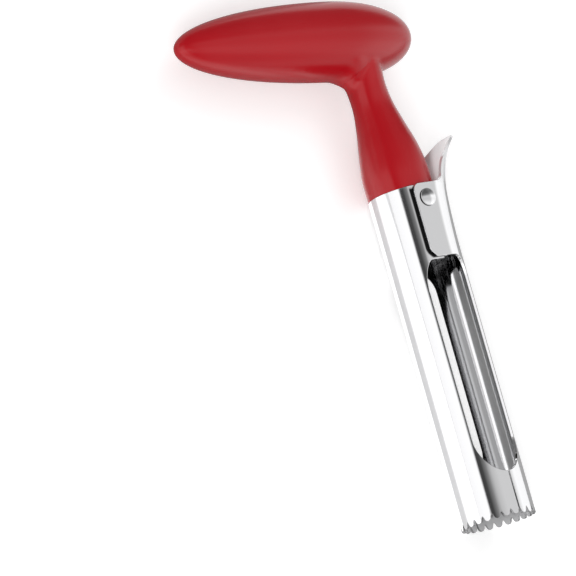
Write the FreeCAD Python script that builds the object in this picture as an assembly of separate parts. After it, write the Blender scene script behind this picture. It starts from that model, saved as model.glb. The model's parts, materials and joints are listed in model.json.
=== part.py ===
import FreeCAD, Part
import math
import os

# A corer with a T grip. Its steel tube is split lengthwise: one half is fixed to the spigot under
# the grip's neck, and the other swings on a rivet when its flared lever is pressed to the neck.
#
# All sizes are in millimetres. The pieces are modelled upright: the origin is on the tube's axis
# at the tooth tips, +z runs up the tube to the grip, -x points to the grip's long end, +x to the
# lever, and the rivet runs along y. At the end they are laid on their side, as the corer rests.

Vector = FreeCAD.Vector
along_x = Vector(1, 0, 0)
along_y = Vector(0, 1, 0)
along_z = Vector(0, 0, 1)

# Tube
tube_radius = 11.0
sheet = 0.8
tube_length = 99.5
seam_gap = 0.3

# Teeth round the lower end: round lobes with a narrow notch between them
tooth_count = 24
tooth_depth = 1.8
notch_half_width = 0.42

# Windows on both sides, centred on the seams
window_half_width = 7.5
window_sill = 12.8
window_sill_rise = 10.7
fixed_window_below_rim = 22.4
fixed_corner_width = 3.2
fixed_corner_height = 9.0
release_window_below_rim = 21.9
release_corner_width = 3.8
release_corner_height = 7.0

# Hinge
pivot_x = -0.7
pivot_below_rim = 4.3
rivet_radius = 1.6
rivet_press_clearance = 0.02
rivet_running_clearance = 0.05
rivet_head_radius = 2.65
rivet_head_step = 0.3
rivet_head_height = 0.8
rivet_head_gap = 0.05

# Ears of the release blade, and the collar side that each one laps over
ear_pressed_in = 0.3
ear_lap = 5.1
ear_above_rim = 0.4
ear_top_corner = 2.2
ear_bottom_corner = 3.0
ear_gap = 0.1
collar_lug_radius = 3.2
collar_lug_below_rim = 15.5

# Lever: the release blade's back leans out gently, then flares to a rounded tip
lean_below_rim = 21.5
lean_radius = 190.0
lean_turn = 5.2
flare_radius = 29.0
flare_turn = 52.0
lever_root_inset = 5.15
lever_root_fillet = 3.0
lever_root_slope = 62.5
lever_side_inset = 1.5
lever_taper = 29.0
lever_side_radius = 10.0
lever_reach = 10.5
lever_tip_radius = 4.9

# Grip: an egg with a long and a short end, its axis sloping down to +x
grip_radius = 11.8
grip_long_end = 53.6
grip_long_tip_radius = 6.0
grip_short_end = 28.2
grip_short_tip_radius = 7.2
grip_centre_x = -11.8
grip_slope = 3.15

# Neck from the tube's rim to the grip's axis. Each station gives the share of that height, how far
# the left edge, the right edge and the sides lie inside the tube's round, and the squareness.
neck_height = 47.9
neck_stations = [
    (0.0, 0.0, 3.0, 1.4, 2.25),
    (0.135, -0.3, 3.0, 1.45, 2.1),
    (0.28, 0.5, 3.9, 2.2, 2.0),
    (0.43, 1.7, 5.9, 3.8, 2.0),
    (0.575, 2.3, 7.7, 5.0, 2.0),
    (0.67, 2.0, 8.5, 4.8, 2.0),
    (0.73, 0.9, 8.9, 4.1, 1.9),
    (0.795, -3.0, 9.0, 2.6, 1.7),
    (0.88, -9.0, 9.2, 0.6, 1.6),
]

# Spigot in the top of the tube
spigot_length = 17.5
spigot_clearance = 0.05
spigot_front_inset = 3.8
spigot_front_flattening = 1.6

# How the corer lies: on the tube's side and the grip's belly, rolled a little to balance
roll_at_rest = -0.3

pivot_z = tube_length - pivot_below_rim
ear_half_span = tube_radius - ear_pressed_in
ear_edge_x = pivot_x - ear_lap
ear_top = tube_length + ear_above_rim
collar_half_span = ear_half_span - sheet - ear_gap
fixed_window_top = tube_length - fixed_window_below_rim
release_window_top = tube_length - release_window_below_rim
mid_window = (window_sill + window_sill_rise + fixed_window_top - fixed_corner_height) / 2
lean_start = tube_length - lean_below_rim
grip_centre_z = tube_length + neck_height
reach = 4 * tube_radius


def box(x_low, x_high, y_low, y_high, z_low, z_high):
    corner = Vector(x_low, y_low, z_low)
    return Part.makeBox(x_high - x_low, y_high - y_low, z_high - z_low, corner)


def slab(x_low, x_high, z_low, z_high):
    # a box that takes in the tube's whole depth
    return box(x_low, x_high, -reach, reach, z_low, z_high)


def cross_rod(radius, x, z, half_length):
    return Part.makeCylinder(radius, 2 * half_length, Vector(x, -half_length, z), along_y)


def quarter_ellipse(centre, start, end):
    if start.distanceToPoint(centre) >= end.distanceToPoint(centre):
        ellipse = Part.Ellipse(start, end, centre)
    else:
        ellipse = Part.Ellipse(end, start, centre)
    return Part.Arc(ellipse, 0, math.pi / 2).toShape()


def line(start, end):
    return Part.LineSegment(start, end).toShape()


def rounded_outline(corners):
    # closed outline through corners given as (point, radius), each rounded by an arc
    edges = []
    ends = []
    for index, (corner, radius) in enumerate(corners):
        before = (corners[index - 1][0] - corner).normalize()
        after = (corners[(index + 1) % len(corners)][0] - corner).normalize()
        if radius == 0:
            ends.append((corner, corner))
            continue
        half_angle = before.getAngle(after) / 2
        reach_back = radius / math.tan(half_angle)
        start = corner + before * reach_back
        end = corner + after * reach_back
        bisector = (before + after).normalize()
        middle = corner + bisector * (radius / math.sin(half_angle) - radius)
        edges.append(Part.Arc(start, middle, end).toShape())
        ends.append((start, end))
    for index, (start, _) in enumerate(ends):
        edges.append(line(ends[index - 1][1], start))
    return Part.Face(Part.Wire(Part.sortEdges(edges)[0]))


def pressed_disc(radius, half_span, height):
    # a disc whose two sides are cut flat at y = half_span
    disc = Part.Face(Part.Wire(Part.makeCircle(radius, Vector(0, 0, height))))
    strip = Part.makePlane(2 * reach, 2 * half_span, Vector(-reach, -half_span, height))
    return disc.common(strip)


def wall_section(half_span, height):
    outside = pressed_disc(tube_radius, half_span, height)
    inside = pressed_disc(tube_radius - sheet, half_span - sheet, height)
    return outside.cut(inside)


def wall(half_span, low, high):
    return wall_section(half_span, low).extrude(Vector(0, 0, high - low))


def round_wall(low, high):
    return wall(tube_radius + sheet, low, high)


def window(side, top, corner_width, corner_height):
    # half of the window, cut along y through both walls; side is -1 at the grip's long end
    def point(x, z):
        return Vector(side * x, -reach, z)

    sill_level = window_sill + window_sill_rise
    corner_level = top - corner_height
    flat_end = window_half_width - corner_width
    side_low = point(window_half_width, sill_level)
    side_high = point(window_half_width, corner_level)
    edges = [
        quarter_ellipse(point(0, sill_level), point(0, window_sill), side_low),
        line(side_low, side_high),
        quarter_ellipse(point(flat_end, corner_level), side_high, point(flat_end, top)),
        line(point(flat_end, top), point(-sheet, top)),
        line(point(-sheet, top), point(-sheet, window_sill)),
        line(point(-sheet, window_sill), point(0, window_sill)),
    ]
    return Part.Face(Part.Wire(edges)).extrude(Vector(0, 2 * reach, 0))


def notches():
    # the gaps between neighbouring tooth lobes, one on each seam
    half_pitch = math.pi * tube_radius / tooth_count
    lobe_radius = half_pitch - notch_half_width
    inner_x = tube_radius - 2 * sheet

    def point(y, z):
        return Vector(inner_x, y, z)

    def lobe_edge(side):
        diagonal = lobe_radius * math.sqrt(0.5)
        start = point(side * notch_half_width, lobe_radius)
        middle = point(side * (half_pitch - diagonal), lobe_radius - diagonal)
        return Part.Arc(start, middle, point(side * half_pitch, 0)).toShape()

    below = -tooth_depth
    edges = [
        line(point(0, tooth_depth), point(notch_half_width, lobe_radius)),
        lobe_edge(1),
        line(point(half_pitch, 0), point(half_pitch, below)),
        line(point(half_pitch, below), point(-half_pitch, below)),
        line(point(-half_pitch, below), point(-half_pitch, 0)),
        lobe_edge(-1),
        line(point(-notch_half_width, lobe_radius), point(0, tooth_depth)),
    ]
    notch = Part.Face(Part.Wire(edges)).extrude(Vector(3 * sheet, 0, 0))
    cutters = []
    for index in range(tooth_count):
        cutter = notch.copy()
        cutter.rotate(Vector(), along_z, 90 + index * 360 / tooth_count)
        cutters.append(cutter)
    return Part.makeCompound(cutters)


def make_fixed_blade():
    edge_x = -seam_gap / 2
    lower = round_wall(0, mid_window).common(slab(-reach, edge_x, 0, mid_window))
    side = slab(-reach, edge_x, mid_window, pivot_z)
    side = side.fuse(slab(-reach, pivot_x, pivot_z, tube_length))
    lug_low = tube_length - collar_lug_below_rim + collar_lug_radius
    side = side.fuse(slab(pivot_x - collar_lug_radius, pivot_x + collar_lug_radius, lug_low, pivot_z))
    for level in (lug_low, pivot_z):
        side = side.fuse(cross_rod(collar_lug_radius, pivot_x, level, reach))
    upper = wall(collar_half_span, mid_window, tube_length).common(side)
    blade = lower.fuse(upper)
    blade = blade.cut(window(-1, fixed_window_top, fixed_corner_width, fixed_corner_height))
    blade = blade.cut(notches())
    rivet_hole = cross_rod(rivet_radius + rivet_press_clearance, pivot_x, pivot_z, reach)
    return blade.cut(rivet_hole).removeSplitter()


def make_ear():
    # flat ear plate, with the release blade's side as its right edge
    y = ear_half_span - sheet
    right = math.sqrt(tube_radius**2 - ear_half_span**2)
    corners = [
        (Vector(ear_edge_x, y, release_window_top), ear_bottom_corner),
        (Vector(right, y, release_window_top), 0),
        (Vector(right, y, ear_top), 0),
        (Vector(ear_edge_x, y, ear_top), ear_top_corner),
    ]
    return rounded_outline(corners).extrude(Vector(0, sheet, 0))


def make_flared_back():
    # the half-round section is carried round two arcs, one after the other
    section = wall_section(ear_half_span, lean_start)
    front = box(seam_gap / 2, reach, -reach, reach, lean_start - 1, lean_start + 1)
    section = section.common(front)
    lean_centre = Vector(tube_radius + lean_radius, 0, lean_start)
    leaning = section.revolve(lean_centre, along_y, lean_turn)
    end_section = section.copy()
    end_section.rotate(lean_centre, along_y, lean_turn)
    angle = math.radians(lean_turn)
    to_centre = Vector(math.cos(angle), 0, -math.sin(angle))
    flare_centre = lean_centre - to_centre * (lean_radius - flare_radius)
    flaring = end_section.revolve(flare_centre, along_y, flare_turn)
    return leaning.fuse(flaring)


def trim_lever(back):
    # seen from above the lever tapers from straight sides to a round tip; seen from the side its
    # edge runs up steeply from the ears' top, with a fillet at the root
    base_x = -reach / 2
    half_width = tube_radius - lever_side_inset
    taper = math.radians(lever_taper)
    tip_x = tube_radius + lever_reach
    apex_x = tip_x + lever_tip_radius / math.sin(taper) - lever_tip_radius
    taper_start = apex_x - half_width / math.tan(taper)
    plan = rounded_outline([
        (Vector(base_x, -half_width, ear_top), 0),
        (Vector(taper_start, -half_width, ear_top), lever_side_radius),
        (Vector(apex_x, 0, ear_top), lever_tip_radius),
        (Vector(taper_start, half_width, ear_top), lever_side_radius),
        (Vector(base_x, half_width, ear_top), 0),
    ])
    lever_room = plan.extrude(Vector(0, 0, reach))
    ear_room = slab(base_x, reach, lean_start - 1, ear_top)
    root_x = tube_radius - lever_root_inset
    run = reach / math.tan(math.radians(lever_root_slope))
    above = rounded_outline([
        (Vector(base_x, -reach, ear_top), 0),
        (Vector(root_x, -reach, ear_top), lever_root_fillet),
        (Vector(root_x + run, -reach, ear_top + reach), 0),
        (Vector(base_x, -reach, ear_top + reach), 0),
    ])
    back = back.common(lever_room.fuse(ear_room))
    return back.cut(above.extrude(Vector(0, 2 * reach, 0)))


def make_release_blade():
    edge_x = seam_gap / 2
    blade = round_wall(0, mid_window).common(slab(edge_x, reach, 0, mid_window))
    upper = wall(ear_half_span, mid_window, lean_start)
    blade = blade.fuse(upper.common(slab(edge_x, reach, mid_window, lean_start)))
    blade = blade.fuse(trim_lever(make_flared_back()))
    blade = blade.cut(window(1, release_window_top, release_corner_width, release_corner_height))
    ear = make_ear()
    blade = blade.fuse(ear).fuse(ear.mirror(Vector(), along_y))
    blade = blade.cut(notches())
    rivet_hole = cross_rod(rivet_radius + rivet_running_clearance, pivot_x, pivot_z, reach)
    return blade.cut(rivet_hole).removeSplitter()


def make_rivet():
    seat = ear_half_span + rivet_head_gap
    end = seat + rivet_head_height
    rim = seat + rivet_head_step
    dome_radius = rivet_head_radius - rivet_head_step

    def point(radius, y):
        return Vector(pivot_x + radius, y, pivot_z)

    sag = end - rim
    sphere = (dome_radius**2 + sag**2) / (2 * sag)
    half = dome_radius / 2
    middle = end - sphere + math.sqrt(sphere**2 - half**2)
    edges = [
        line(point(0, 0), point(rivet_radius, 0)),
        line(point(rivet_radius, 0), point(rivet_radius, seat)),
        line(point(rivet_radius, seat), point(rivet_head_radius, seat)),
        line(point(rivet_head_radius, seat), point(rivet_head_radius, rim)),
        line(point(rivet_head_radius, rim), point(dome_radius, rim)),
        Part.Arc(point(dome_radius, rim), point(half, middle), point(0, end)).toShape(),
        line(point(0, end), point(0, 0)),
    ]
    profile = Part.Face(Part.Wire(edges))
    half_rivet = profile.revolve(Vector(pivot_x, 0, pivot_z), along_y, 360)
    return half_rivet.fuse(half_rivet.mirror(Vector(), along_y)).removeSplitter()


def neck_section(height_share, left_inset, right_inset, side_inset, squareness):
    # closed curve |x/a|^n + |y/b|^n = 1 about the middle of the left and right edges
    left = left_inset - tube_radius
    right = tube_radius - right_inset
    height = tube_length + height_share * neck_height
    points = []
    count = 12
    for index in range(count):
        angle = 2 * math.pi * index / count
        across = math.copysign(abs(math.cos(angle)) ** (2 / squareness), math.cos(angle))
        deep = math.copysign(abs(math.sin(angle)) ** (2 / squareness), math.sin(angle))
        x = (left + right) / 2 + across * (right - left) / 2
        points.append(Vector(x, deep * (tube_radius - side_inset), height))
    curve = Part.BSplineCurve()
    curve.interpolate(points, PeriodicFlag=True)
    return Part.Wire(curve.toShape())


def egg_end(side, length, tip_radius):
    # from the widest point a long arc runs smoothly into the tip's arc
    side_radius = length**2 + grip_radius**2 - 2 * length * tip_radius
    side_radius = side_radius / (2 * (grip_radius - tip_radius))
    join = math.atan2(length - tip_radius, side_radius - grip_radius)

    def arc(centre_x, centre_z, radius, start, end):
        points = []
        for turn in (start, (start + end) / 2, end):
            x = side * (centre_x + radius * math.sin(turn))
            points.append(Vector(x, 0, centre_z + radius * math.cos(turn)))
        return Part.Arc(*points).toShape()

    return [
        arc(0, grip_radius - side_radius, side_radius, 0, join),
        arc(length - tip_radius, 0, tip_radius, join, math.pi / 2),
    ]


def make_grip():
    edges = egg_end(-1, grip_long_end, grip_long_tip_radius)
    edges += egg_end(1, grip_short_end, grip_short_tip_radius)
    edges.append(line(Vector(-grip_long_end, 0, 0), Vector(grip_short_end, 0, 0)))
    profile = Part.Face(Part.Wire(Part.sortEdges(edges)[0]))
    egg = profile.revolve(Vector(), along_x, 360)
    egg.rotate(Vector(), along_y, grip_slope)
    egg.translate(Vector(grip_centre_x, 0, grip_centre_z))
    return egg


def make_spigot():
    radius = tube_radius - sheet - spigot_clearance
    half_depth = collar_half_span - sheet - spigot_clearance
    bottom = tube_length - spigot_length
    spigot = Part.makeCylinder(radius, spigot_length, Vector(0, 0, bottom))
    spigot = spigot.common(box(-reach, reach, -half_depth, half_depth, bottom, tube_length))
    front_radius = tube_radius - spigot_front_flattening
    front_base = Vector(tube_radius - spigot_front_inset - front_radius, 0, bottom)
    return spigot.common(Part.makeCylinder(front_radius, spigot_length, front_base))


def make_handle():
    neck = Part.makeLoft([neck_section(*station) for station in neck_stations], True, False)
    handle = make_grip().fuse(neck).fuse(make_spigot())
    rivet_hole = cross_rod(rivet_radius + rivet_press_clearance, pivot_x, pivot_z, reach)
    return handle.cut(rivet_hole)


def lay_down(pieces):
    # upright to lying: +z turns to +x, -x to +y and -y to +z, then the roll and the pitch that
    # brings tube and grip down to one level; the origin ends under the middle of the whole
    pitch = math.degrees(math.asin((grip_radius - tube_radius) / grip_centre_z))
    turn = FreeCAD.Rotation(along_y, -pitch)
    turn = turn.multiply(FreeCAD.Rotation(along_x, roll_at_rest - 90))
    turn = turn.multiply(FreeCAD.Rotation(along_y, 90))
    for piece in pieces.values():
        piece.Placement = FreeCAD.Placement(Vector(), turn).multiply(piece.Placement)
    bounds = Part.makeCompound(list(pieces.values())).optimalBoundingBox(False, False)
    shift = Vector(-bounds.Center.x, -bounds.Center.y, -bounds.ZMin)
    for piece in pieces.values():
        piece.translate(shift)
    return shift


def single_solid(shape):
    if len(shape.Solids) != 1:
        raise ValueError(f"expected one solid, got {len(shape.Solids)}")
    return shape.Solids[0]


def main():
    pieces = {
        "handle": single_solid(make_handle()),
        "fixed_blade": single_solid(make_fixed_blade()),
        "release_blade": single_solid(make_release_blade()),
        "hinge_rivet": single_solid(make_rivet()),
    }
    shift = lay_down(pieces)
    os.makedirs("parts", exist_ok=True)
    for name, piece in pieces.items():
        piece.exportStep(f"parts/{name}.step")
        print(name, "valid" if piece.isValid() else "INVALID", f"{piece.Volume:.1f} mm3")
    place = next(iter(pieces.values())).Placement
    print("laid at", shift, "axis and angle", place.Rotation.Axis, math.degrees(place.Rotation.Angle))


main()
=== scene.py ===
import json
import math

import bpy
import numpy as np
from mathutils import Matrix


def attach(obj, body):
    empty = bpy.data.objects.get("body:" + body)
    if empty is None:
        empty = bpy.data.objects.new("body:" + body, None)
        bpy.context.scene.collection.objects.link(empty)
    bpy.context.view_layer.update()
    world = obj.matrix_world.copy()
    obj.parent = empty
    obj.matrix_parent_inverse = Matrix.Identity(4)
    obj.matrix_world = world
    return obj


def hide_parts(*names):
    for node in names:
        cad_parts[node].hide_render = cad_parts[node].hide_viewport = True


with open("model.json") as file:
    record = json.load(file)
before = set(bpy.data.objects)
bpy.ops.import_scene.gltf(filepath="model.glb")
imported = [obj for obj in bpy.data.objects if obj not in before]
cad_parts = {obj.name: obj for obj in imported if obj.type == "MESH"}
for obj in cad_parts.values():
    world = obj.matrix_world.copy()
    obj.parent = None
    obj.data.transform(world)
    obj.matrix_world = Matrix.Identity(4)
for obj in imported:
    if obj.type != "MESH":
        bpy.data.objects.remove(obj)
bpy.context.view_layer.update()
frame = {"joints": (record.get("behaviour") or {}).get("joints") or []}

mm = 0.001
slack = 1e-9

# The corer is worked out upright: origin at the tooth tips on the tube's axis, z up the tube,
# -x to the grip's long end, and the near rivet head at -y. Then it is laid down like the CAD pieces.
lyingValues = {"roll": -0.3, "gripRadius": 11.8, "tubeRadius": 11.0, "gripHeight": 147.4,
               "pivot": (-0.7, 0.0, 95.2)}


# turn of angle degrees about x, y or z, as a matrix
def turnAbout(axis, angle):
    c, s = math.cos(math.radians(angle)), math.sin(math.radians(angle))
    if axis == "x":
        return np.array([[1, 0, 0], [0, c, -s], [0, s, c]])
    if axis == "y":
        return np.array([[c, 0, s], [0, 1, 0], [-s, 0, c]])
    return np.array([[c, -s, 0], [s, c, 0], [0, 0, 1]])


pitch = math.degrees(math.asin((lyingValues["gripRadius"] - lyingValues["tubeRadius"])
                               / lyingValues["gripHeight"]))
layTurn = turnAbout("y", -pitch) @ turnAbout("x", lyingValues["roll"] - 90) @ turnAbout("y", 90)
hinge = frame["joints"][0]
layShift = np.array(hinge["pos_m"]) / mm - layTurn @ np.array(lyingValues["pivot"])


# upright millimetres to metres in the frame: turned, then shifted so that the hinge falls on the CAD hinge
def layDown(points):
    return (points @ layTurn.T + layShift) * mm


def makePiece(name, points, faces, body, material, nodes, normals=None):
    mesh = bpy.data.meshes.new(name)
    mesh.from_pydata(layDown(points).tolist(), [], [list(face) for face in faces])
    mesh.polygons.foreach_set("use_smooth", np.ones(len(mesh.polygons), bool))
    mesh.materials.append(material)
    mesh.update()
    if normals is not None:
        mesh.normals_split_custom_set_from_vertices((normals @ layTurn.T).tolist())
    piece = bpy.data.objects.new(name, mesh)
    bpy.context.scene.collection.objects.link(piece)
    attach(piece, body)
    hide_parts(*nodes)
    return piece


# a value at each point that the material can read
def addAttribute(piece, name, values):
    piece.data.attributes.new(name, "FLOAT", "POINT").data.foreach_set("value", values.astype(np.float32))


# quads between neighbouring rows of a grid whose columns close into a ring, numbered from start
def ringFaces(rows, columns, start=0):
    r, c = np.meshgrid(np.arange(rows - 1), np.arange(columns), indexing="ij")
    n = (c + 1) % columns
    quads = np.stack([r * columns + c, r * columns + n, (r + 1) * columns + n, (r + 1) * columns + c], -1)
    return quads.reshape(-1, 4) + start


# triangles that close the first and last row of such a grid on two middle points numbered after it
def endFans(rows, columns):
    count = rows * columns
    c = np.arange(columns)
    n = (c + 1) % columns
    first = np.stack([n, c, np.full(columns, count)], -1)
    last = np.stack([c + count - columns, n + count - columns, np.full(columns, count + 1)], -1)
    return np.vstack([first, last])


def newMaterial(name, values):
    material = bpy.data.materials.new(name)
    material.use_nodes = True
    shader = material.node_tree.nodes["Principled BSDF"]
    for socket, value in values.items():
        shader.inputs[socket].default_value = value
    return material, shader


# a node in the tree of owner, which is a material or the world
def addNode(owner, kind, settings=(), inputs=()):
    node = owner.node_tree.nodes.new(kind)
    for key, value in dict(settings).items():
        setattr(node, key, value)
    for key, value in dict(inputs).items():
        node.inputs[key].default_value = value
    return node


def join(owner, source, output, target, socket):
    owner.node_tree.links.new(source.outputs[output], target.inputs[socket])


# a colour between first and second, by an output of another node
def mixColour(owner, source, output, first, second):
    mix = addNode(owner, "ShaderNodeMix", {"data_type": "RGBA"}, {6: first, 7: second})
    join(owner, source, output, mix, 0)
    return mix


# a number that goes from one level to another while an output of another node passes from end to end
def levelBetween(owner, source, output, ends, levels=(0.0, 1.0)):
    node = addNode(owner, "ShaderNodeMapRange", inputs={"From Min": ends[0], "From Max": ends[1],
                                                        "To Min": levels[0], "To Max": levels[1]})
    join(owner, source, output, node, "Value")
    return node


# one number from the outputs of two other nodes
def combine(owner, operation, first, firstOutput, second, secondOutput):
    node = addNode(owner, "ShaderNodeMath", {"operation": operation})
    join(owner, first, firstOutput, node, 0)
    join(owner, second, secondOutput, node, 1)
    return node


# a ramp of grey levels from a list of position and level
def addRamp(owner, levels):
    node = addNode(owner, "ShaderNodeValToRGB")
    stops = node.color_ramp.elements
    for index, (position, level) in enumerate(levels):
        stop = stops[index] if index < 2 else stops.new(position)
        stop.position = position
        stop.color = (level, level, level, 1)
    return node


# the part of a noise node's values that a change of gloss is spread over
noiseSpan = (0.3, 0.7)
plasticValues = {"colour": (0.40, 0.003, 0.008, 1), "shade": (0.45, 0.004, 0.010, 1),
                 "roughness": (0.21, 0.26), "gloss": 0.48, "grainScale": 2600.0, "grainHeight": 0.000012,
                 "grainStrength": 0.35, "waveScale": 55.0, "spigotShadeColour": (0.006, 0.006, 0.006, 1)}


# matt moulded plastic: a fine even spark-eroded grain, slow changes of gloss over the form, and painted
# shade, near black, on the spigot's end inside the tube, where the mesh's attribute for it is 1
def makePlastic():
    values = plasticValues
    material, shader = newMaterial("moulded_red", {"IOR": 1.49, "Specular IOR Level": values["gloss"]})
    place = addNode(material, "ShaderNodeTexCoord")
    slow = addNode(material, "ShaderNodeTexNoise", inputs={"Scale": values["waveScale"], "Detail": 3.0})
    join(material, place, "Object", slow, "Vector")
    tint = mixColour(material, slow, "Fac", values["colour"], values["shade"])
    spigot_shade = addNode(material, "ShaderNodeAttribute", {"attribute_name": "spigot_shade"})
    whole = mixColour(material, spigot_shade, "Fac", values["colour"], values["spigotShadeColour"])
    join(material, tint, 2, whole, 6)
    join(material, whole, 2, shader, "Base Color")
    gloss = levelBetween(material, slow, "Fac", noiseSpan, values["roughness"])
    join(material, gloss, "Result", shader, "Roughness")
    grain = addNode(material, "ShaderNodeTexNoise", inputs={"Scale": values["grainScale"], "Detail": 2.0})
    join(material, place, "Object", grain, "Vector")
    bump = addNode(material, "ShaderNodeBump", inputs={"Strength": values["grainStrength"],
                                                       "Distance": values["grainHeight"]})
    join(material, grain, "Fac", bump, "Height")
    join(material, bump, "Normal", shader, "Normal")
    return material


steelValues = {"colour": (0.86, 0.86, 0.87, 1), "roughness": (0.05, 0.10), "satinRoughness": 0.22,
               "satinMirror": 0.55, "paintedShadeColour": (0.012, 0.012, 0.012, 1),
               "lineScale": 900.0, "lineHeight": 0.0000008, "lineStrength": 0.3}
rivetSteelValues = {"colour": (0.84, 0.84, 0.85, 1), "roughness": (0.10, 0.16), "satinRoughness": 0.3,
                    "satinMirror": 1.0, "paintedShadeColour": (0.05, 0.05, 0.05, 1),
                    "lineScale": 1400.0, "lineHeight": 0.0000008, "lineStrength": 0.3}


# polished stainless steel: faint lengthwise polishing lines, which noise drawn out along x gives, small
# changes of gloss, a satin finish that scatters where the mesh's satin attribute is 1, and painted shade,
# near black, where its painted shade attribute is 1
def makeSteel(name, values):
    material, shader = newMaterial(name, {})
    place = addNode(material, "ShaderNodeTexCoord")
    along = addNode(material, "ShaderNodeMapping", inputs={"Scale": (0.03, 1.0, 1.0)})
    join(material, place, "Object", along, "Vector")
    lines = addNode(material, "ShaderNodeTexNoise", inputs={"Scale": values["lineScale"], "Detail": 3.0})
    join(material, along, "Vector", lines, "Vector")
    gloss = levelBetween(material, lines, "Fac", noiseSpan, values["roughness"])
    satin = addNode(material, "ShaderNodeAttribute", {"attribute_name": "satin"})
    finish = addNode(material, "ShaderNodeMix", {"data_type": "FLOAT"}, {3: values["satinRoughness"]})
    join(material, satin, "Fac", finish, 0)
    join(material, gloss, "Result", finish, 2)
    join(material, finish, 0, shader, "Roughness")
    mirror = levelBetween(material, satin, "Fac", (0.0, 1.0), (1.0, values["satinMirror"]))
    join(material, mirror, "Result", shader, "Metallic")
    painted_shade = addNode(material, "ShaderNodeAttribute", {"attribute_name": "painted_shade"})
    tone = mixColour(material, painted_shade, "Fac", values["colour"], values["paintedShadeColour"])
    join(material, tone, 2, shader, "Base Color")
    bump = addNode(material, "ShaderNodeBump", inputs={"Strength": values["lineStrength"],
                                                       "Distance": values["lineHeight"]})
    join(material, lines, "Fac", bump, "Height")
    join(material, bump, "Normal", shader, "Normal")
    return material


plastic = makePlastic()
steel = makeSteel("polished_steel", steelValues)
rivetSteel = makeSteel("rivet_steel", rivetSteelValues)
print("stage: materials made")

# the handle: an egg-shaped T grip and the waisted neck under it, one moulding
gripValues = {"longEnd": 53.6, "shortEnd": 28.3, "longSquareness": 2.03, "shortSquareness": 2.12,
              "halfHeight": 11.72, "halfDepth": 11.8, "centre": (-11.8, 0.0, 147.4), "slope": 3.15}
neckValues = {
    # height above the rim, left edge, right edge, half depth, squareness
    "stations": [(0.0, -11.0, 8.0, 9.6, 2.25), (6.5, -11.3, 8.0, 9.55, 2.1),
                 (13.5, -10.5, 7.1, 8.8, 2.0), (20.5, -9.3, 5.1, 7.2, 2.0), (27.5, -8.7, 3.3, 6.0, 1.95),
                 (32.0, -8.9, 2.6, 6.1, 1.9), (38.0, -9.8, 2.6, 7.4, 1.75), (44.0, -11.0, 2.6, 8.6, 1.65)],
    "rim": 99.5, "height": 44.0, "longSideBlend": 5.4, "shortSideBlend": 0.9, "narrowFrom": -10.4,
    "narrowOver": 6.0, "fadeFrom": 138.5, "fadeTo": 143.0}
spigotValues = {"radius": 10.15, "flatAt": 8.95, "frontRadius": 9.4, "frontAt": 7.2, "low": 82.0, "high": 101.0,
                "edgeRound": 0.5, "spigotShadeFrom": 0.3, "spigotShadeFade": 0.2, "sharpAngle": 50.0}


# smooth curve through the stations: on each span a cubic whose end slopes come from the neighbours
def throughStations(stations, heights):
    table = np.array(stations)
    z, values = table[:, 0], table[:, 1:]
    slopes = np.gradient(values, z, axis=0)
    i = np.clip(np.searchsorted(z, heights) - 1, 0, len(z) - 2)
    span = (z[i + 1] - z[i])[:, None]
    t = ((heights - z[i])[:, None] / span)
    return ((2 * t**3 - 3 * t**2 + 1) * values[i] + (t**3 - 2 * t**2 + t) * span * slopes[i]
            + (3 * t**2 - 2 * t**3) * values[i + 1] + (t**3 - t**2) * span * slopes[i + 1])


gripTurn = turnAbout("y", gripValues["slope"])
gripCentre = np.array(gripValues["centre"])


# 0 on the egg's surface, positive outside: the egg's superellipse measure of a point, less one
def gripMeasure(points):
    local = (points - gripCentre) @ gripTurn
    isLeft = local[:, 0] < 0
    length = np.where(isLeft, gripValues["longEnd"], gripValues["shortEnd"])
    n = np.where(isLeft, gripValues["longSquareness"], gripValues["shortSquareness"])
    ring = np.hypot(local[:, 1] / gripValues["halfDepth"], local[:, 2] / gripValues["halfHeight"])
    return (np.abs(local[:, 0] / length) ** n + ring**n) ** (1 / n) - 1


# 0 on the neck's surface, positive outside: the same measure in the neck's section at that height
def neckMeasure(points):
    above = points[:, 2] - neckValues["rim"]
    left, right, deep, n = throughStations(neckValues["stations"], np.clip(above, 0, neckValues["height"])).T
    across = np.abs(points[:, 0] - (left + right) / 2) / ((right - left) / 2)
    beyond = np.maximum(above - neckValues["height"], 0)
    return (across**n + np.abs(points[:, 1] / deep) ** n) ** (1 / n) - 1 + beyond


# distance to a surface and the way out of it, from the measure and its slope in x, y and z
def distanceTo(measure, points, step=0.01):
    value = measure(points)
    slope = np.stack([(measure(points + d) - measure(points - d)) / (2 * step) for d in np.eye(3) * step], -1)
    size = np.linalg.norm(slope, axis=1) + 1e-9
    return value / size, slope / size[:, None]


# width of the blend between neck and grip: wide on the grip's long side, narrow round the rest of the
# neck, and fading out above the grip's axis
def blendWidth(points):
    values = neckValues
    side = np.clip((points[:, 0] - values["narrowFrom"]) / values["narrowOver"], 0, 1)
    side = side**2 * (3 - 2 * side)
    fade = np.clip((points[:, 2] - values["fadeFrom"]) / (values["fadeTo"] - values["fadeFrom"]), 0, 1)
    k = values["longSideBlend"] + (values["shortSideBlend"] - values["longSideBlend"]) * side
    return np.maximum(k * (1 - fade**2 * (3 - 2 * fade)), 0.05)


# fillet: each surface is pushed out until the smooth minimum of the distances a and b to the two,
# min(a, b) - (k - |a - b|)^2 / 4k, is 0; past the line where a = b it stays inside the other
def fillet(points, own, other, rounds=9):
    _, out = distanceTo(own, points)
    push = np.zeros(len(points))
    for _ in range(rounds):
        place = points + out * push[:, None]
        a, b, k = distanceTo(own, place)[0], distanceTo(other, place)[0], blendWidth(place)
        blend = np.minimum(a, b) - np.maximum(k - np.abs(a - b), 0) ** 2 / (4 * k)
        push = np.clip(push - blend, 0, k / 4)
    return points + out * push[:, None]


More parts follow.
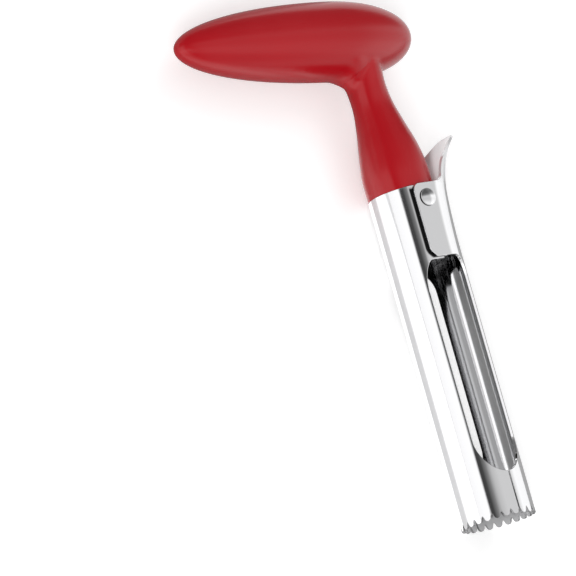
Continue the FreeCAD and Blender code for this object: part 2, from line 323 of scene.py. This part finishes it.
# closed egg: rings about its axis, from tip to tip along a superellipse of each end
def gripSurface(rows=260, columns=200):
    t = np.linspace(-np.pi / 2, np.pi / 2, rows)[1:-1]
    isLeft = t < 0
    length = np.where(isLeft, gripValues["longEnd"], gripValues["shortEnd"])
    n = np.where(isLeft, gripValues["longSquareness"], gripValues["shortSquareness"])
    along = np.sign(t) * length * np.abs(np.sin(t)) ** (2 / n)
    ring = np.cos(t) ** (2 / n)
    a = np.linspace(0, 2 * np.pi, columns, endpoint=False)
    grid = np.stack([along[:, None] + 0 * a, gripValues["halfDepth"] * ring[:, None] * np.cos(a),
                     gripValues["halfHeight"] * ring[:, None] * np.sin(a)], -1).reshape(-1, 3)
    tips = np.array([[-gripValues["longEnd"], 0, 0], [gripValues["shortEnd"], 0, 0]])
    points = np.vstack([grid, tips]) @ gripTurn.T + gripCentre
    return points, ringFaces(rows - 2, columns), endFans(rows - 2, columns)


# closed column: superellipse sections stacked up the neck, from the rim into the grip
def neckSurface(rows=140, columns=240):
    heights = np.linspace(0.0, neckValues["height"], rows)
    left, right, deep, n = throughStations(neckValues["stations"], heights).T[..., None]
    a = np.linspace(0, 2 * np.pi, columns, endpoint=False)
    across = np.sign(np.cos(a)) * np.abs(np.cos(a)) ** (2 / n)
    depth = np.sign(np.sin(a)) * np.abs(np.sin(a)) ** (2 / n)
    grid = np.stack([(left + right) / 2 + across * (right - left) / 2, depth * deep,
                     (heights + neckValues["rim"])[:, None] + 0 * across], -1)
    ends = grid[[0, -1]].mean(axis=1)
    return np.vstack([grid.reshape(-1, 3), ends]), ringFaces(rows, columns), endFans(rows, columns)


# the spigot that fills the collar: a round cut flat at its sides and eased at its front, each
# direction's radius being the least of the three, with its bottom edge rounded
def spigotSurface(columns=240):
    values = spigotValues
    a = np.linspace(0, 2 * np.pi, columns, endpoint=False)
    shift = values["frontAt"] - values["frontRadius"]
    front = shift * np.cos(a) + np.sqrt(values["frontRadius"]**2 - (shift * np.sin(a)) ** 2)
    side = values["flatAt"] / np.maximum(np.abs(np.sin(a)), 0.01)
    reach = np.minimum(np.minimum(values["radius"], front), side)
    turn = np.linspace(0, np.pi / 2, 7)
    inset = np.append(values["edgeRound"] * (1 - np.sin(turn)), 0.0)
    heights = np.append(values["low"] + values["edgeRound"] * (1 - np.cos(turn)), values["high"])
    size = reach - inset[:, None]
    grid = np.stack([size * np.cos(a), size * np.sin(a), heights[:, None] + 0 * a], -1)
    rows = len(heights)
    ends = grid[[0, -1]].mean(axis=1)
    return np.vstack([grid.reshape(-1, 3), ends]), ringFaces(rows, columns), endFans(rows, columns)


# one mesh of the three surfaces, with painted shade, near black, on the spigot's end inside the tube held in an
# attribute
def makeHandle():
    grip, neck, spigot = gripSurface(), neckSurface(), spigotSurface()
    surfaces = [(fillet(grip[0], gripMeasure, neckMeasure),) + grip[1:],
                (fillet(neck[0], neckMeasure, gripMeasure),) + neck[1:], spigot]
    faces, count = [], 0
    for points, quads, caps in surfaces:
        faces += (quads + count).tolist() + (caps + count).tolist()
        count += len(points)
    allPoints = np.vstack([points for points, _, _ in surfaces])
    piece = makePiece("handle_moulding", allPoints, faces, "body", plastic, ("handle",))
    # painted shade: the spigot turns near black from just under the rim downwards
    under = neckValues["rim"] - spigotValues["spigotShadeFrom"] - allPoints[:, 2]
    addAttribute(piece, "spigot_shade", np.clip(under / spigotValues["spigotShadeFade"], 0, 1))
    piece.data.set_sharp_from_angle(angle=math.radians(spigotValues["sharpAngle"]))


makeHandle()
print("stage: handle made")

# the steel: two halves of one split tube, each pressed from sheet with its edges slightly rounded
tubeValues = {"radius": 11.0, "sheet": 0.8, "edgeRound": 0.1, "rim": 99.5, "seamGap": 0.3,
              "teeth": 24, "toothDepth": 1.8, "notchHalfWidth": 0.42,
              "windowHalfWidth": 7.5, "windowSill": 12.8, "sillRise": 10.7}
# finishes of the sheet by height: satin on the lever and inside the mouth. Painted shade: the inside is
# darkened, more so towards the mouth, and so are the notches' edges. A normal is inside where it points in this
# far.
finishAndShadeValues = {"inwards": 5.0, "leverSatinFrom": 99.0, "leverSatinOver": 2.0,
                "mouthSatinTo": 4.2, "mouthSatinOver": 0.8, "insideShadeLevel": 0.2, "insideFrom": 3.6,
                "insideOver": 0.6, "insideTo": 99.0, "mouthShadeLevel": 0.7, "mouthTo": 11.0, "mouthOver": 5.0,
                "toothEdgeShadeLevel": 0.7, "toothEdgeTo": 2.2}
fixedValues = {"windowTop": 77.1, "cornerWidth": 3.2, "cornerHeight": 9.0, "flatAt": 9.8, "bendRadius": 4.0,
               "lugRadius": 3.2, "lugX": -0.7, "lugLow": 87.2, "lugHigh": 95.2,
               # the last eight values set where the painted shade lies beside the ear's outline
               "painted_shade": 0.9, "paintedShadeFade": 0.15, "paintedShadeBehind": 0.6, "paintedShadeBehindFade": 0.3,
               "paintedShadeSide": 8.9, "paintedShadeBottom": 0.3, "paintedShadeTop": 99.0, "paintedShadeTopFade": 0.5}
releaseValues = {"windowTop": 77.6, "cornerWidth": 3.8, "cornerHeight": 7.0, "flatAt": 10.7, "bendRadius": 7.0,
                 "earEdge": -4.8, "earTop": 99.7, "earTopCorner": 2.2, "earBottomCorner": 3.0,
                 "leanStart": 78.0, "leanRadius": 190.0, "leanTurn": 5.2, "flareRadius": 29.0,
                 "rootX": 5.2, "rootFillet": 4.5, "rootSlope": 62.5,
                 "halfWidth": 9.6, "rootFlare": 1.1, "rootFlareHeight": 2.6, "rootFlarePower": 2.5,
                 "taper": 29.0, "taperSoften": 1.3, "tipX": 21.5, "tipRadius": 4.9,
                 "rowBunching": 2.2, "tipShort": 0.00002}


# columns for half the tube, from seam to seam: their angles, and the height of the toothed edge at each.
# A notch has straight sides, and from them a quarter circle runs out to each lobe's tip.
def toothColumns():
    halfPitch = math.pi * tubeValues["radius"] / tubeValues["teeth"]
    notch, depth = tubeValues["notchHalfWidth"], tubeValues["toothDepth"]
    lobe = halfPitch - notch
    turn = np.radians([0, 12, 26, 40, 54, 70])  # round the lobe
    side = np.array([0, 0.4, 0.8])  # share of the notch's side
    across = np.concatenate([side * notch, halfPitch - lobe * np.cos(turn), [halfPitch]])
    height = np.concatenate([depth - (depth - lobe) * side, lobe - lobe * np.sin(turn), [0.0]])
    index = np.arange(tubeValues["teeth"])[:, None]
    rising = index % 2 == 1
    places = np.where(rising, (index + 1) * halfPitch - across[::-1], index * halfPitch + across)[:, :-1]
    heights = np.where(rising, height[::-1], height)[:, :-1]
    angles = np.append(places.ravel(), tubeValues["teeth"] * halfPitch) / tubeValues["radius"] - math.pi / 2
    edge = math.acos(tubeValues["seamGap"] / 2 / tubeValues["radius"])
    return np.clip(angles, -edge, edge), np.append(heights.ravel(), depth)


# the same columns with more put in at the angles that a half's own outline needs
def columnsFor(extra):
    angles, heights = toothColumns()
    merged = np.unique(np.round(np.concatenate([angles, extra, -np.array(extra)]), 9))
    return merged, np.interp(merged, angles, heights)


# a window's lower edge is a quarter ellipse from the seam up to its side
def windowSill(x):
    share = np.clip(np.abs(x) / tubeValues["windowHalfWidth"], 0, 1)
    return tubeValues["windowSill"] + tubeValues["sillRise"] * (1 - np.sqrt(1 - share**2))


# its upper edge is level, with a quarter ellipse down to its side
def windowTop(x, values):
    flatEnd = tubeValues["windowHalfWidth"] - values["cornerWidth"]
    share = np.clip((np.abs(x) - flatEnd) / values["cornerWidth"], 0, 1)
    return values["windowTop"] - values["cornerHeight"] * (1 - np.sqrt(1 - share**2))


# where the flat side of a pressed section gives way to the bend
def flatEnd(values):
    radius, flat, bend = tubeValues["radius"], values["flatAt"], values["bendRadius"]
    return math.sqrt((radius - flat) * (radius + flat - 2 * bend))


# half width of the pressed section at x: flat, then a bend tangent to the flat and to the round tube
def pressedWidth(x, values):
    radius, flat, bend = tubeValues["radius"], values["flatAt"], values["bendRadius"]
    start = flatEnd(values)
    x = np.abs(x)
    onBend = flat - bend + np.sqrt(np.maximum(bend**2 - (x - start) ** 2, 0))
    onTube = np.sqrt(np.maximum(radius**2 - x**2, 0))
    return np.where(x < start, flat, np.where(x < start * radius / (radius - bend), onBend, onTube))


# grid with the same x and y up each column, and rows in even shares from low to high
def strip(x, y, low, high, rows):
    share = np.linspace(0, 1, rows)[:, None]
    z = low + share * (high - low) + 0 * x
    return np.stack([x + 0 * z, y + 0 * z, z], -1)


# quads between neighbouring points of an open grid, numbered from start
def gridFaces(rows, columns, start=0):
    r, c = np.meshgrid(np.arange(rows - 1), np.arange(columns - 1), indexing="ij")
    low, high = r * columns + c, (r + 1) * columns + c
    quads = np.stack([low, low + 1, high + 1, high], -1)
    return quads.reshape(-1, 4) + start


# sheet metal from grids of points on its outer face. Shared points are welded, the inner face lies one
# thickness in along the normals, and each open edge gets a rim: a quarter round, a flat and a quarter round.
def makeSheet(name, grids, body, material, node, weldPerMm=2000):
    sizes = [grid.shape[0] * grid.shape[1] for grid in grids]
    starts = np.concatenate([[0], np.cumsum(sizes)[:-1]])
    points = np.vstack([grid.reshape(-1, 3) for grid in grids])
    faces = np.vstack([gridFaces(*grid.shape[:2], start) for grid, start in zip(grids, starts)])
    _, first, group = np.unique(np.round(points * weldPerMm).astype(np.int64), axis=0,
                                return_index=True, return_inverse=True)
    points, faces = points[first], group.reshape(-1)[faces]
    faces = faces[(np.diff(np.sort(faces, axis=1), axis=1) > 0).all(axis=1)]
    out = np.cross(points[faces[:, 2]] - points[faces[:, 0]], points[faces[:, 3]] - points[faces[:, 1]])
    normals = np.zeros_like(points)
    np.add.at(normals, faces.ravel(), np.repeat(out, 4, axis=0))
    normals /= np.linalg.norm(normals, axis=1)[:, None]
    count = len(points)

    edges = np.stack([faces, np.roll(faces, -1, axis=1)], -1).reshape(-1, 2)
    _, which, uses = np.unique(np.sort(edges, axis=1), axis=0, return_index=True, return_counts=True)
    rim = edges[which[uses == 1]]
    along = points[rim[:, 1]] - points[rim[:, 0]]
    along /= np.linalg.norm(along, axis=1)[:, None]
    away = np.zeros_like(points)
    np.add.at(away, rim.ravel(), np.cross(np.repeat(along, 2, axis=0), normals[rim.ravel()]))
    onRim, where = np.unique(rim.ravel(), return_inverse=True)
    rimEdges = where.reshape(-1, 2)
    away, up = away[onRim], normals[onRim]
    away /= np.linalg.norm(away, axis=1)[:, None]

    sheet, edgeRound = tubeValues["sheet"], tubeValues["edgeRound"]
    outer = points.copy()
    outer[onRim] -= edgeRound * away
    inner = outer - normals * sheet
    turn = np.radians([30, 60, 90, 90, 120, 150])[:, None, None]
    depth = np.array([edgeRound] * 3 + [sheet - edgeRound] * 3)[:, None, None]
    rimNormals = up * np.cos(turn) + away * np.sin(turn)
    rimPoints = outer[onRim] - up * depth + edgeRound * rimNormals
    size = len(onRim)
    rings = np.vstack([onRim, 2 * count + np.arange(6 * size).reshape(6, size), onRim + count])
    i, j = rimEdges.T
    rimFaces = np.stack([rings[:-1, j], rings[:-1, i], rings[1:, i], rings[1:, j]], -1).reshape(-1, 4)

    allPoints = np.vstack([outer, inner, rimPoints.reshape(-1, 3)])
    allNormals = np.vstack([normals, -normals, rimNormals.reshape(-1, 3)])
    allFaces = np.vstack([faces, faces[:, ::-1] + count, rimFaces])
    piece = makePiece(name, allPoints, allFaces, body, material, (node,), allNormals)
    # satin by height, and a level of painted shade that darkens the inside, more so towards the mouth, and the
    # notches' cut edges
    finish, height = finishAndShadeValues, allPoints[:, 2]
    isInside = (allNormals[:, :2] * allPoints[:, :2]).sum(axis=1) < -finish["inwards"]
    leverSatin = np.clip((height - finish["leverSatinFrom"]) / finish["leverSatinOver"], 0, 1)
    mouthSatin = np.clip((finish["mouthSatinTo"] - height) / finish["mouthSatinOver"], 0, 1)
    addAttribute(piece, "satin", np.maximum(leverSatin, isInside * mouthSatin))
    towardsMouth = np.clip((finish["mouthTo"] - height) / finish["mouthOver"], 0, 1)
    shadeLevel = finish["insideShadeLevel"] + (finish["mouthShadeLevel"] - finish["insideShadeLevel"]) * towardsMouth
    shadeLevel = shadeLevel * isInside * np.clip((height - finish["insideFrom"]) / finish["insideOver"], 0, 1)
    shadeLevel = shadeLevel * (height < finish["insideTo"])
    onNotch = (np.arange(len(height)) >= 2 * count) & (height < finish["toothEdgeTo"])
    return piece, allPoints, np.where(onNotch, finish["toothEdgeShadeLevel"], shadeLevel)


# the fixed half: ring with teeth, prong between the windows, collar pressed flat at its sides, and
# on each side the lug that the rivet goes through
def makeFixedBlade():
    values = fixedValues
    radius, halfWindow = tubeValues["radius"], tubeValues["windowHalfWidth"]
    windowEdge = math.acos(halfWindow / radius)
    cornerEdge = math.acos((halfWindow - values["cornerWidth"]) / radius)
    angles, teeth = columnsFor([windowEdge, cornerEdge])
    x, y = -radius * np.cos(angles), -radius * np.sin(angles)
    isProng = np.abs(angles) <= windowEdge + slack
    sillLevel = tubeValues["windowSill"] + tubeValues["sillRise"]
    cornerLevel = values["windowTop"] - values["cornerHeight"]
    pressed = np.sign(y) * pressedWidth(x, values)
    reach = x[-1] - values["lugX"]
    lugLow = values["lugLow"] - math.sqrt(values["lugRadius"]**2 - reach**2)
    lugHigh = values["lugHigh"] + math.sqrt(values["lugRadius"]**2 - reach**2)
    lugX = x[-1] + np.linspace(0, 1, 14) ** 0.6 * (values["lugRadius"] - reach)
    lugArc = np.sqrt(np.maximum(values["lugRadius"]**2 - (lugX - values["lugX"])**2, 1e-6))
    nearLug = strip(lugX, pressed[-1] + 0 * lugX, values["lugLow"] - lugArc, values["lugHigh"] + lugArc, 12)
    farLug = nearLug[:, ::-1] * [1, -1, 1]
    piece, points, shadeLevel = makeSheet("fixed_half", [
        strip(x, y, teeth, windowSill(x), 14),
        strip(x[isProng], y[isProng], sillLevel, cornerLevel, 14),
        strip(x, pressed, windowTop(x, values), lugLow, 26),
        strip(x, pressed, lugLow, lugHigh, 12),
        strip(x, pressed, lugHigh, tubeValues["rim"], 3),
        nearLug, farLug], "body", steel, "fixed_blade")
    # painted shade in the crevice along the ear's outline: a dark band as wide as the step, found from the
    # distance to the ear
    ear = releaseValues
    right = ear["earEdge"] + ear["earBottomCorner"] - points[:, 0]
    under = ear["windowTop"] + ear["earBottomCorner"] - points[:, 2]
    outside = np.where((right > 0) & (under > 0), np.hypot(right, under), np.maximum(right, under))
    outside -= ear["earBottomCorner"]
    band = (np.clip((values["painted_shade"] - outside) / values["paintedShadeFade"], 0, 1)
            * np.clip((outside + values["paintedShadeBehind"]) / values["paintedShadeBehindFade"], 0, 1))
    beside = ((points[:, 2] > values["windowTop"] + values["paintedShadeBottom"])
              & (np.abs(points[:, 1]) > values["paintedShadeSide"]))
    beside = beside * np.clip((values["paintedShadeTop"] - points[:, 2]) / values["paintedShadeTopFade"], 0, 1)
    addAttribute(piece, "painted_shade", np.maximum(band * beside, shadeLevel))


# the release half's upper part leans out round a wide arc, then flares round a tight one. A column
# that starts at x is found from its distance to the two centres and the angle turned so far; a negative
# angle stands for the straight part below the arcs.
leanTurn = math.radians(releaseValues["leanTurn"])
arm = releaseValues["leanRadius"] - releaseValues["flareRadius"]
flareX = tubeValues["radius"] + releaseValues["leanRadius"] - arm * math.cos(leanTurn)
flareZ = releaseValues["leanStart"] + arm * math.sin(leanTurn)


def carry(x, turn):
    fromLean = tubeValues["radius"] + releaseValues["leanRadius"] - x
    fromFlare = fromLean - arm
    leaning = np.clip(turn, 0, leanTurn)
    leanX = tubeValues["radius"] + releaseValues["leanRadius"] - fromLean * np.cos(leaning)
    straight = releaseValues["leanRadius"] * np.minimum(turn, 0)
    leanZ = releaseValues["leanStart"] + fromLean * np.sin(leaning) + straight
    flares = turn > leanTurn
    return (np.where(flares, flareX - fromFlare * np.cos(turn), leanX),
            np.where(flares, flareZ + fromFlare * np.sin(turn), leanZ))


# the lever keeps what lies inside its plan, straight sides that spread at the root and taper to a round
# tip, and below the side edge that climbs steeply from the ears' top with a fillet at its root
def isTrimmed(x, y, z):
    values = releaseValues
    taper, slope = math.radians(values["taper"]), math.radians(values["rootSlope"])
    tipCentre = values["tipX"] - values["tipRadius"]
    apex = tipCentre + values["tipRadius"] / math.sin(taper)
    tapered = (apex - x) * math.tan(taper)
    above = z - values["earTop"]
    spread = np.clip(1 - above / values["rootFlareHeight"], 0, 1) ** values["rootFlarePower"]
    halfWidth = values["halfWidth"] + values["rootFlare"] * spread
    overlap = np.maximum(values["taperSoften"] - np.abs(halfWidth - tapered), 0)
    plan = np.minimum(halfWidth, tapered) - overlap**2 / (4 * values["taperSoften"])
    roundTip = np.sqrt(np.maximum(values["tipRadius"]**2 - (x - tipCentre)**2, 0))
    plan = np.where(x > tipCentre + values["tipRadius"] * math.sin(taper), roundTip, plan)
    beside = above * math.cos(slope) - (x - values["rootX"]) * math.sin(slope)
    half = (math.pi - slope) / 2
    centre = values["rootFillet"] / math.sin(half)
    dx = x - values["rootX"] - centre * math.cos(slope + half)
    dz = above - centre * math.sin(slope + half)
    inCorner = (dx > 0) & (dx * math.cos(slope) + dz * math.sin(slope) < 0)
    keptByFillet = inCorner & (np.hypot(dx, dz) > values["rootFillet"])
    return (above > 0) & ((np.abs(y) >= plan) | ((beside > 0) & ~keptByFillet))


# the moving half: the same ring and prong, two flat ears, and a back that runs up into the lever
def makeReleaseBlade(backRows=60, leverRows=110, trials=6000):
    values = releaseValues
    radius, halfWindow = tubeValues["radius"], tubeValues["windowHalfWidth"]
    windowEdge = math.acos(halfWindow / radius)
    cornerEdge = math.acos((halfWindow - values["cornerWidth"]) / radius)
    flatEdge = math.acos(flatEnd(values) / radius)
    angles, teeth = columnsFor([windowEdge, cornerEdge, flatEdge])
    x, y = radius * np.cos(angles), radius * np.sin(angles)
    isProng = np.abs(angles) <= windowEdge + slack
    backAngles = angles[np.abs(angles) <= flatEdge + slack]
    sillLevel = tubeValues["windowSill"] + tubeValues["sillRise"]
    cornerLevel = values["windowTop"] - values["cornerHeight"]

    # angle turned where a column reaches the ears' top, and where the middle one reaches the lever's tip
    def turnAtEarTop(x):
        return np.arcsin((values["earTop"] - flareZ) / (radius + values["leanRadius"] - x - arm))

    tipTurn = math.acos((flareX - values["tipX"]) / values["flareRadius"])

    def sectionAt(angle):
        sectionX = radius * np.cos(angle)
        return sectionX, np.sign(angle) * pressedWidth(sectionX, values)

    backX, backY = sectionAt(backAngles)
    lowTurn = (windowTop(backX, values) - values["leanStart"]) / values["leanRadius"]
    share = np.linspace(0, 1, backRows)[:, None]
    placeX, placeZ = carry(backX, lowTurn + share * (turnAtEarTop(backX) - lowTurn))
    back = np.stack([placeX, backY + 0 * placeX, placeZ], -1)

    # lever rows run from the ears' level to the tip, closer at both ends and stopping just short of the
    # tip; each is as wide as the trim leaves it, which is found by trial
    step = np.linspace(0, 1, leverRows)[:, None]
    share = 0.5 * step ** values["rowBunching"] + 0.5 * (1 - (1 - step) ** values["rowBunching"])
    share = share * (1 - values["tipShort"])
    trial = np.linspace(0, flatEdge, trials)
    trialX, trialY = sectionAt(trial)
    high = turnAtEarTop(trialX)
    wideX, wideZ = carry(trialX, high + share * (tipTurn - high))
    trimmed = isTrimmed(wideX, trialY, wideZ)
    widest = trial[np.where(trimmed.any(axis=1), np.argmax(trimmed, axis=1), len(trial) - 1)][:, None]
    widest[0] = flatEdge
    spread = backAngles / flatEdge * widest
    spreadX, spreadY = sectionAt(spread)
    high = turnAtEarTop(spreadX)
    placeX, placeZ = carry(spreadX, high + share * (tipTurn - high))
    lever = np.stack([placeX, spreadY, placeZ], -1)

    # an ear spans from its own upright edge to the back's outermost column, row by row, with columns
    # closer at its rounded corners
    edgeColumn = back[:, -1]
    rise = ((edgeColumn[:, 2] - edgeColumn[0, 2]) / (edgeColumn[-1, 2] - edgeColumn[0, 2]))[:, None]
    t = np.concatenate([0.45 * (1 - np.cos(np.linspace(0, np.pi / 2, 16))), np.linspace(0.5, 1.0, 10)])
    earX = values["earEdge"] + t * (edgeColumn[:, :1] - values["earEdge"])
    lowArc = np.maximum(values["earEdge"] + values["earBottomCorner"] - earX, 0)
    highArc = np.maximum(values["earEdge"] + values["earTopCorner"] - earX, 0)
    earLow = values["windowTop"] + values["earBottomCorner"] - np.sqrt(values["earBottomCorner"]**2 - lowArc**2)
    earHigh = values["earTop"] - values["earTopCorner"] + np.sqrt(values["earTopCorner"]**2 - highArc**2)
    earZ = earLow + rise * (earHigh - earLow)
    farEar = np.stack([earX, values["flatAt"] + 0 * earX, earZ], -1)[:, ::-1]
    nearEar = farEar[:, ::-1] * [1, -1, 1]
    piece, _, shadeLevel = makeSheet("release_half", [
        strip(x, y, teeth, windowSill(x), 14),
        strip(x[isProng], y[isProng], sillLevel, cornerLevel, 14),
        back, lever, nearEar, farEar], "release", steel, "release_blade")
    # painted shade inside the tube and on the notches' edges
    addAttribute(piece, "painted_shade", shadeLevel)


# the rivet: a profile of radius and height turned about the pin, the same at both ends
rivetValues = {"x": -0.7, "z": 95.2, "shank": 1.6, "seat": 10.75, "headRadius": 2.65, "step": 0.3,
               "headHeight": 0.8, "edgeRound": 0.1, "roundInShade": 0.3, "sharpAngle": 35.0}


def makeRivet(columns=120):
    values = rivetValues
    dome = values["headRadius"] - values["step"]
    sag = values["headHeight"] - values["step"]
    sphere = (dome**2 + sag**2) / (2 * sag)
    r = dome * np.sin(np.linspace(np.pi / 2, 0, 30))[:-1]
    domeHeight = values["headHeight"] - sphere + np.sqrt(sphere**2 - r**2)
    edge = values["edgeRound"]
    turn = np.linspace(0, np.pi / 2, 6)
    radii = np.concatenate([[values["shank"], values["shank"], values["headRadius"]],
                            values["headRadius"] - edge + edge * np.cos(turn), r])
    heights = np.concatenate([[-values["seat"], 0, 0], values["step"] - edge + edge * np.sin(turn), domeHeight])
    a = np.linspace(0, 2 * np.pi, columns, endpoint=False)
    ring = np.stack([radii[:, None] * np.cos(a), heights[:, None] + 0 * a, radii[:, None] * np.sin(a)], -1)
    points = np.vstack([ring.reshape(-1, 3), [[0, values["headHeight"], 0]]])
    last = (len(radii) - 1) * columns
    c = np.arange(columns)
    cap = np.stack([last + c, last + (c + 1) % columns, np.full(columns, last + columns)], -1)
    quads = ringFaces(len(radii), columns)
    far = points + [values["x"], values["seat"], values["z"]]
    near = points * [1, -1, 1] + [values["x"], -values["seat"], values["z"]]
    count = len(points)
    faces = (quads[:, ::-1].tolist() + cap[:, ::-1].tolist()
             + (quads + count).tolist() + (cap + count).tolist())
    piece = makePiece("rivet", np.vstack([far, near]), faces, "body", rivetSteel,
                      ("hinge_rivet",))
    # painted shade: the side of each head's step below its rounded edge is darkened near black
    fromMiddle = np.hypot(far[:, 0] - values["x"], far[:, 2] - values["z"])
    underHeadShade = np.abs(points[:, 1]) < values["step"] - values["roundInShade"] * edge
    addAttribute(piece, "painted_shade", np.tile(underHeadShade & (fromMiddle > values["shank"]), 2))
    piece.data.set_sharp_from_angle(angle=math.radians(values["sharpAngle"]))


makeFixedBlade()
makeReleaseBlade()
makeRivet()
print("stage: steel made")

# the camera stands where the photograph's stood, fitted to the tube
cameraValues = {"place": (-0.27624657, 0.93285579, 1.21984066),
                "turn": (20.91462729, -32.52173959, -108.59006874), "lens": 338.72446}
camera = bpy.data.objects.new("camera", bpy.data.cameras.new("camera"))
camera.location = cameraValues["place"]
camera.rotation_euler = [math.radians(a) for a in cameraValues["turn"]]
camera.data.lens = cameraValues["lens"]
camera.data.sensor_width = 36.0
camera.data.clip_end = 20.0
bpy.context.scene.collection.objects.link(camera)
bpy.context.scene.camera = camera

# plain pale floor, lifted to white for the camera. Painted light for polished steel: in mirror rays it glows
# brighter on the key's side and in a strip below the tube, a ramp along y that shows as the bright streak
# inside it,
# and painted shade: in mirror rays its colour is darker out beyond the tube, so that the steel's edges stand
# out.
floorValues = {"halfWidth": 6.0, "roughness": 0.6, "gloss": 0.2, "seenLift": 0.36,
               "streakY": (-0.03, 0.01), "streakEnd": (0.03, 0.045),
               "streak": [(0.0, 0.0), (0.30, 0.0), (0.34, 0.85), (0.48, 0.85), (0.51, 0.05), (0.68, 0.05),
                          (0.76, 0.55), (1.0, 0.55)],
               "patchX": (0.025, 0.031), "patchY": (-0.030, -0.026), "patchLift": 0.6,
               "colour": (0.86, 0.86, 0.86, 1), "shadeColour": (0.45, 0.45, 0.45, 1),
               "shadeX": (0.036, 0.052), "shadeY": (-0.045, -0.055), "shadeFade": (0.06, 0.10)}


def makeFloor():
    values, half = floorValues, floorValues["halfWidth"]
    mesh = bpy.data.meshes.new("floor")
    corners = [(-half, -half, 0), (half, -half, 0), (half, half, 0), (-half, half, 0)]
    mesh.from_pydata(corners, [], [(0, 1, 2, 3)])
    floor = bpy.data.objects.new("floor", mesh)
    bpy.context.scene.collection.objects.link(floor)
    material, shader = newMaterial("pale_floor", {"Roughness": values["roughness"],
                                                  "Specular IOR Level": values["gloss"],
                                                  "Emission Color": (1, 1, 1, 1)})
    mesh.materials.append(material)
    path = addNode(material, "ShaderNodeLightPath")
    place = addNode(material, "ShaderNodeTexCoord")
    parts = addNode(material, "ShaderNodeSeparateXYZ")
    join(material, place, "Object", parts, "Vector")

    # painted light for mirror rays: the floor glows in a strip below the tube and in a small patch
    acrossStreak = levelBetween(material, parts, "Y", values["streakY"])
    streak = addRamp(material, values["streak"])
    join(material, acrossStreak, "Result", streak, "Fac")
    streakEnd = levelBetween(material, parts, "X", values["streakEnd"], (1.0, 0.0))
    underTube = combine(material, "MULTIPLY", streak, "Color", streakEnd, "Result")
    patchX = levelBetween(material, parts, "X", values["patchX"], (0.0, values["patchLift"]))
    patchY = levelBetween(material, parts, "Y", values["patchY"], (1.0, 0.0))
    underLever = combine(material, "MULTIPLY", patchX, "Result", patchY, "Result")
    higher = combine(material, "MAXIMUM", underTube, 0, underLever, 0)
    mirrored = combine(material, "MULTIPLY", path, "Is Glossy Ray", higher, 0)
    seenLift = addNode(material, "ShaderNodeMath", {"operation": "MULTIPLY"}, {1: values["seenLift"]})
    join(material, path, "Is Camera Ray", seenLift, 0)
    lift = combine(material, "MAXIMUM", seenLift, 0, mirrored, 0)
    join(material, lift, 0, shader, "Emission Strength")

    # painted shade for mirror rays: the floor's colour darkens beyond the tube
    farY = levelBetween(material, parts, "Y", values["shadeY"])
    farX = levelBetween(material, parts, "X", values["shadeX"])
    nearTube = levelBetween(material, parts, "Y", values["shadeFade"], (1.0, 0.0))
    beyondTube = combine(material, "MULTIPLY", farX, "Result", nearTube, "Result")
    farther = combine(material, "MAXIMUM", farY, "Result", beyondTube, 0)
    shaded = combine(material, "MULTIPLY", path, "Is Glossy Ray", farther, 0)
    tone = mixColour(material, shaded, 0, values["colour"], values["shadeColour"])
    join(material, tone, 2, shader, "Base Color")


# the room: an even white, white for the camera too, with a darker stretch overhead that polished steel
# shows as lengthwise bands. "around" runs with the angle about x, from the floor on +y over the top to
# -y, and "along" with the direction's x, from -x to +x.
roomValues = {"level": 0.52,
              "along": [(0.0, 0.8), (0.12, 0.9), (0.20, 1.7), (0.32, 1.7), (0.42, 1.25), (0.50, 1.1),
                        (0.56, 1.2), (0.61, 1.2), (0.67, 0.4), (0.74, 0.18), (1.0, 0.18)],
              "around": [(0.00, 0.92), (0.188, 1.0), (0.215, 0.045), (0.265, 0.05), (0.33, 0.20), (0.40, 0.47),
                         (0.50, 0.58), (0.72, 0.58), (0.80, 0.95), (1.00, 0.92)]}


def makeRoom():
    values = roomValues
    world = bpy.data.worlds.new("room")
    bpy.context.scene.world = world
    world.use_nodes = True
    world.node_tree.nodes.clear()
    place = addNode(world, "ShaderNodeTexCoord")
    parts = addNode(world, "ShaderNodeSeparateXYZ")
    join(world, place, "Generated", parts, 0)
    angle = combine(world, "ARCTAN2", parts, "Z", parts, "Y")
    share = addNode(world, "ShaderNodeMath", {"operation": "DIVIDE"}, {1: math.pi})
    join(world, angle, 0, share, 0)
    around = addRamp(world, values["around"])
    join(world, share, 0, around, 0)
    fromEnd = levelBetween(world, parts, "X", (-1.0, 1.0))
    along = addRamp(world, values["along"])
    join(world, fromEnd, "Result", along, 0)
    mirrored = addNode(world, "ShaderNodeBackground")
    join(world, around, 0, mirrored, "Color")
    join(world, along, 0, mirrored, "Strength")
    plain = addNode(world, "ShaderNodeBackground", inputs={"Color": (1, 1, 1, 1), "Strength": values["level"]})
    white = addNode(world, "ShaderNodeBackground", inputs={"Color": (1, 1, 1, 1), "Strength": 1.0})
    rays = addNode(world, "ShaderNodeLightPath")
    glossyMix = addNode(world, "ShaderNodeMixShader")
    join(world, rays, "Is Glossy Ray", glossyMix, 0)
    join(world, plain, 0, glossyMix, 1)
    join(world, mirrored, 0, glossyMix, 2)
    cameraMix = addNode(world, "ShaderNodeMixShader")
    join(world, rays, "Is Camera Ray", cameraMix, 0)
    join(world, glossyMix, 0, cameraMix, 1)
    join(world, white, 0, cameraMix, 2)
    worldOut = addNode(world, "ShaderNodeOutputWorld")
    join(world, cameraMix, 0, worldOut, 0)


makeFloor()
makeRoom()

# two soft lamps that face the object; polished steel doesn't show them
lampValues = {"key": {"place": (-0.7, 1.1, 1.1), "size": 0.8, "power": 14.0},
              "fill": {"place": (0.9, -0.7, 1.2), "size": 1.0, "power": 5.0}}
for lampName, values in lampValues.items():
    data = bpy.data.lights.new(lampName, "AREA")
    data.size = values["size"]
    data.energy = values["power"]
    lamp = bpy.data.objects.new(lampName, data)
    lamp.location = values["place"]
    lamp.visible_glossy = False
    bpy.context.scene.collection.objects.link(lamp)
    direction = -lamp.location
    lamp.rotation_euler = direction.to_track_quat("-Z", "Y").to_euler()
print("stage: studio made")

bpy.context.scene.view_settings.view_transform = "Standard"
